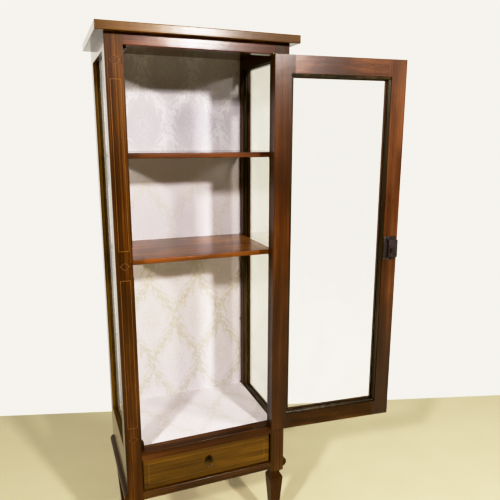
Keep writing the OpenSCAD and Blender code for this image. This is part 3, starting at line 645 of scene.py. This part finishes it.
def frame_lines(x0, x1, z0, z1, w):
    return [bar_x(x0 - w / 2, x1 + w / 2, z0, w), bar_x(x0 - w / 2, x1 + w / 2, z1, w), bar_z(x0, z0 + w / 2, z1 - w / 2, w), bar_z(x1, z0 + w / 2, z1 - w / 2, w)]


def circle_line(cx, cz, r0, r1, n=40):
    out = []
    for i in range(n):
        a, b_ = 2 * math.pi * i / n, 2 * math.pi * (i + 1) / n
        out.append([(cx + r0 * math.cos(a), cz + r0 * math.sin(a)), (cx + r1 * math.cos(a), cz + r1 * math.sin(a)),
                    (cx + r1 * math.cos(b_), cz + r1 * math.sin(b_)), (cx + r0 * math.cos(b_), cz + r0 * math.sin(b_))])
    return out


def lozenge(cx, cz, w, h):
    return [(cx - w, cz), (cx, cz - h), (cx + w, cz), (cx, cz + h)]


def chain(cx, cz, w, h, n):
    """Small lozenges standing over each other, with gaps."""
    return [lozenge(cx, cz + (k - (n - 1) / 2) * 2.2 * h, w, h) for k in range(n)]


for side, cx, inner in (("left", -249.0, 1), ("right", 249.0, -1)):
    light, darkl = [], []
    for z0, z1 in ((1073.0, 1555.0), (504.0, 984.0)):
        light += frame_lines(cx - 14.6, cx + 14.6, z0, z1, 0.9)
    for z in (1605.0, 1027.0, 463.5):
        light += circle_line(cx, z, 9.2, 9.9)
        darkl += circle_line(cx, z, 7.6, 9.2) + circle_line(cx, z, 2.2, 3.0, 16)
        darkl += chain(cx + inner * 19.0, z, 1.7, 3.2, 3)
        light += [lozenge(cx - 12.6, z, 1.1, 2.0), lozenge(cx + 12.6, z, 1.1, 2.0)]
    strips("post_stringing_" + side, light, FY, "case", M["string"])
    strips("post_rings_" + side, darkl, FY, "case", M["ebony"])
strips("drawer_stringing", frame_lines(-222 + 19, 222 - 19, 271 + 19, 380.5 - 19, 0.9), FY + 8, "drawer", M["string_x"])

# ---------------------------------------------------------------- camera
cam_d = bpy.data.cameras.new("camera")
cam_d.sensor_width = 36.0
cam_d.sensor_fit = "HORIZONTAL"
cam_d.lens = 37.70
cam_d.clip_start, cam_d.clip_end = 0.05, 50
cam = bpy.data.objects.new("camera", cam_d)
yw, pt, rl = math.radians(21.3981), math.radians(12.0037), math.radians(0.0640)
F = Vector((math.sin(yw) * math.cos(pt), math.cos(yw) * math.cos(pt), -math.sin(pt)))
R = Vector((math.cos(yw), -math.sin(yw), 0.0))
U = R.cross(F)
R2 = R * math.cos(rl) + U * math.sin(rl)
U2 = -R * math.sin(rl) + U * math.cos(rl)
m = Matrix((R2, U2, -F)).transposed().to_4x4()
m.translation = Vector((-0.20157, -1.54936, 1.39592))
cam.matrix_world = m
bpy.context.scene.collection.objects.link(cam)
bpy.context.scene.camera = cam



def on_floor(px, py):
    """Where the camera's ray through a point of the 500 by 500 frame meets the floor."""
    f_ = 500 * 37.70 / 36.0
    d = F + R2 * ((px - 250) / f_) - U2 * ((py - 250) / f_)
    o_ = cam.matrix_world.translation
    return o_ + d * (-o_.z / d.z)


P0, P1 = on_floor(0, 416), on_floor(500, 395)


def BACK(x):
    return P0.y + (P1.y - P0.y) * (x - P0.x) / (P1.x - P0.x)


# ---------------------------------------------------------------- stage
ROOM_FRONT, ROOM_BACK = 0.008, 0.95
ROOM_TINT = srgb(255, 206, 100)


def floor_material():
    b = Mat("stage_floor")
    n = b.noise(b.coords(), 6.0, 3.0, 0.5)
    b.principled(Base_Color=b.mix(n, srgb(214, 205, 168), srgb(222, 214, 180)), Roughness=n * 0.1 + 0.5, Normal=b.bump(n, 0.05, 0.002))
    return b.m


bm = bmesh.new()
quad = [(-6.0, BACK(-6.0)), (6.0, BACK(6.0)), (6.0, -5.0), (-6.0, -5.0)]
bm.faces.new([bm.verts.new((x, y, 0.0)) for x, y in reversed(quad)])
me = bpy.data.meshes.new("floor")
bm.to_mesh(me)
bm.free()
floor = bpy.data.objects.new("floor", me)
me.materials.append(floor_material())
bpy.context.scene.collection.objects.link(floor)

world = bpy.data.worlds.new("world")
bpy.context.scene.world = world
world.use_nodes = True
wt = world.node_tree
wt.nodes.clear()
# a pale studio: bright wall behind the case, a dimmer room in front of it
wo = wt.nodes.new("ShaderNodeOutputWorld")
tc = wt.nodes.new("ShaderNodeTexCoord")
sep = wt.nodes.new("ShaderNodeSeparateXYZ")
wt.links.new(tc.outputs["Generated"], sep.inputs[0])
def w_range(sock, a, b_, c, d):
    n = wt.nodes.new("ShaderNodeMapRange")
    n.interpolation_type = "SMOOTHSTEP"
    for k_, v_ in zip(("From Min", "From Max", "To Min", "To Max"), (a, b_, c, d)):
        n.inputs[k_].default_value = v_
    wt.links.new(sock, n.inputs["Value"])
    return n.outputs[0]


def w_math(op, a, b_=None):
    n = wt.nodes.new("ShaderNodeMath")
    n.operation = op
    for k_, v_ in enumerate((a, b_)):
        if v_ is not None:
            if hasattr(v_, "is_linked"):
                wt.links.new(v_, n.inputs[k_])
            else:
                n.inputs[k_].default_value = v_
    return n.outputs[0]


behind = w_range(sep.outputs[1], -0.05, 0.30, 0.0, 1.0)
level = w_range(w_math("ABSOLUTE", sep.outputs[2]), 0.25, 0.60, 1.0, 0.25)
wall = w_math("MULTIPLY", w_math("MULTIPLY", behind, level), ROOM_BACK)
lp = wt.nodes.new("ShaderNodeLightPath")
bg1 = wt.nodes.new("ShaderNodeBackground")
bg1.inputs[0].default_value = (*srgb(247, 243, 234), 1)
wt.links.new(wall, bg1.inputs[1])
bg0 = wt.nodes.new("ShaderNodeBackground")
bg0.inputs[0].default_value = (*ROOM_TINT, 1)
bg0.inputs[1].default_value = ROOM_FRONT
ad = wt.nodes.new("ShaderNodeAddShader")
wt.links.new(bg0.outputs[0], ad.inputs[0])
wt.links.new(bg1.outputs[0], ad.inputs[1])
bg2 = wt.nodes.new("ShaderNodeBackground")
bg2.inputs[0].default_value = (*srgb(250, 244, 234), 1)
bg2.inputs[1].default_value = 0.97
ms = wt.nodes.new("ShaderNodeMixShader")
wt.links.new(lp.outputs["Is Camera Ray"], ms.inputs[0])
wt.links.new(ad.outputs[0], ms.inputs[1])
wt.links.new(bg2.outputs[0], ms.inputs[2])
wt.links.new(ms.outputs[0], wo.inputs["Surface"])


def area(name, loc, target, size, power, color=(1, 1, 1), size_y=None):
    l = bpy.data.lights.new(name, "AREA")
    l.energy = power
    l.color = color
    l.shape = "RECTANGLE"
    l.size = size
    l.size_y = size_y or size
    o = bpy.data.objects.new(name, l)
    o.location = loc
    o.rotation_mode = "QUATERNION"
    o.rotation_quaternion = (Vector(target) - Vector(loc)).to_track_quat("-Z", "Y")
    bpy.context.scene.collection.objects.link(o)
    return o


# three lamps under the ceiling in front of the case, and a weak light from above
area("lamp_right", (1.15, -3.23, 2.42), (0.25, 0.1, 1.1), 0.20, 92, (1.0, 0.96, 0.95))
area("lamp_left", (-1.85, -2.23, 2.38), (0.25, 0.1, 1.1), 0.24, 80, (1.0, 0.96, 0.95))
area("lamp_far", (2.81, -2.23, 2.38), (0.25, 0.1, 1.1), 0.24, 44, (1.0, 0.96, 0.92))
area("overhead", (0.25, -0.6, 4.2), (0.25, -0.6, 0.0), 4.0, 45, (1.0, 0.93, 0.79))

# the photograph's tones: firm shadows, and whites that roll off gently
view = bpy.context.scene.view_settings
view.view_transform = "Standard"
view.look = "Medium High Contrast"
view.use_curve_mapping = True
cm = view.curve_mapping
cm.use_clip = False
cm.black_level = (0.0, 0.0015, 0.0045)
tone = cm.curves[3]
tone.points[0].location = (0.0, 0.0)
tone.points[1].location = (2.4, 1.00)
for x, y in ((0.05, 0.046), (0.20, 0.20), (0.45, 0.48), (0.65, 0.645), (0.90, 0.76), (1.40, 0.88)):
    tone.points.new(x, y)
cm.update()
